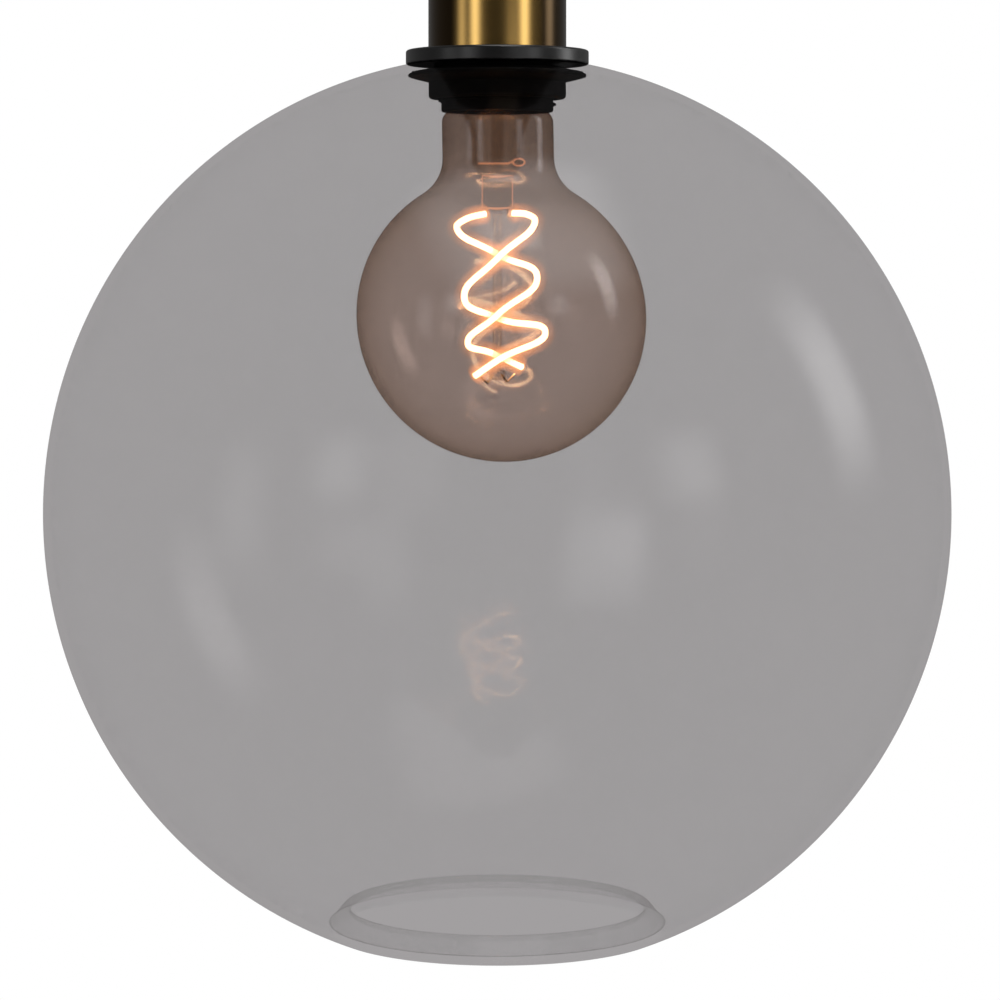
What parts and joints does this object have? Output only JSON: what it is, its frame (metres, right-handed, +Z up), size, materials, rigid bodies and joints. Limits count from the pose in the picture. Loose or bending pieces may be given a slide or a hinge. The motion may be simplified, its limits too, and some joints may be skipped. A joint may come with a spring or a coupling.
{
  "type": "pendant ceiling light",
  "caption": "Pendant light: a smoked clear glass globe open at the bottom, hung from a lampholder in a brass cup, with a globe lamp and its lit filaments.",
  "frame": {"origin": "centre of the cord entry's mouth, at the top of the gland: the point the light hangs from", "axes": "+Z up along the light's vertical axis, which is the axis of the cord entry, the cup, the globe and the lamp; -Y is the side seen from the front"},
  "size_m": [0.3, 0.3, 0.3852],
  "materials": {
    "antique_brass": "drawn brass, antique tone, satin lacquer",
    "black_coat": "satin black powder coat",
    "black_moulded": "moulded, low sheen",
    "nylon": "natural nylon",
    "zinc_steel": "bright zinc plate",
    "nickel_plate": "brass, nickel plated",
    "contact_brass": "bare rolled brass",
    "steatite": "unglazed",
    "smoked_glass": "clear, smoke grey, polished",
    "tinted_glass": "clear, smoke amber, polished",
    "clear_glass": "clear, polished",
    "black_silicone": "matt",
    "black_vitrite": "glossy black glass",
    "phosphor": "soft silicone with phosphor, lit",
    "wire": "drawn nickel wire",
    "board": "glass-epoxy board, white mask",
    "component": "moulded epoxy"
  },
  "bodies": {
    "holder": {"cord_gland": "antique_brass", "cord_liner": "nylon", "gland_grub_screw": "zinc_steel", "brass_cup": "antique_brass", "lock_washer": "zinc_steel", "lock_nut": "zinc_steel", "earth_screw": "antique_brass", "earth_nut": "zinc_steel", "earth_tag": "zinc_steel", "cover_disc": "black_coat", "holder_dome": "black_moulded", "dome_grub_screw": "zinc_steel", "holder_skirt": "black_moulded", "contact_carrier": "steatite", "terminal_blocks": "contact_brass", "terminal_screws": "zinc_steel", "centre_contact": "contact_brass", "contact_rivets": "contact_brass", "screw_shell": "nickel_plate", "side_contact": "contact_brass"},
    "globe": {"glass_globe": "smoked_glass", "upper_gasket": "black_silicone", "lower_gasket": "black_silicone"},
    "ring": {"shade_ring": "black_moulded"},
    "lamp_end": {"cap_tip": "contact_brass", "cap_insulator": "black_vitrite"},
    "lamp": {"lamp_cap": "nickel_plate", "lamp_glass": "tinted_glass", "lamp_stem": "clear_glass", "exhaust_tube": "clear_glass", "filament_a": "phosphor", "filament_b": "phosphor", "lead_wires": "wire", "hook_wires": "wire", "driver_board": "board", "driver_components": "component"}
  },
  "joints": [
    {"name": "globe_drop", "type": "slide", "parent": "holder", "child": "globe", "axis": [0, 0, -1], "range_m": [0, 0.01]},
    {"name": "ring_turn", "type": "hinge", "parent": "globe", "child": "ring", "pos_m": [0, 0, -0.1048], "axis": [0, 0, -1], "range_deg": [0, 1440]},
    {"name": "lamp_drop", "type": "slide", "parent": "holder", "child": "lamp_end", "axis": [0, 0, -1], "range_m": [0, 0.01452]},
    {"name": "lamp_turn", "type": "hinge", "parent": "lamp_end", "child": "lamp", "pos_m": [0, 0, -0.1808], "axis": [0, 0, -1], "range_deg": [0, 1440]}
  ],
  "couplings": [
    {"joint": "ring_turn", "follows": "globe_drop", "rad_per_m": 2513.3},
    {"joint": "lamp_turn", "follows": "lamp_drop", "rad_per_m": 1731.4}
  ]
}
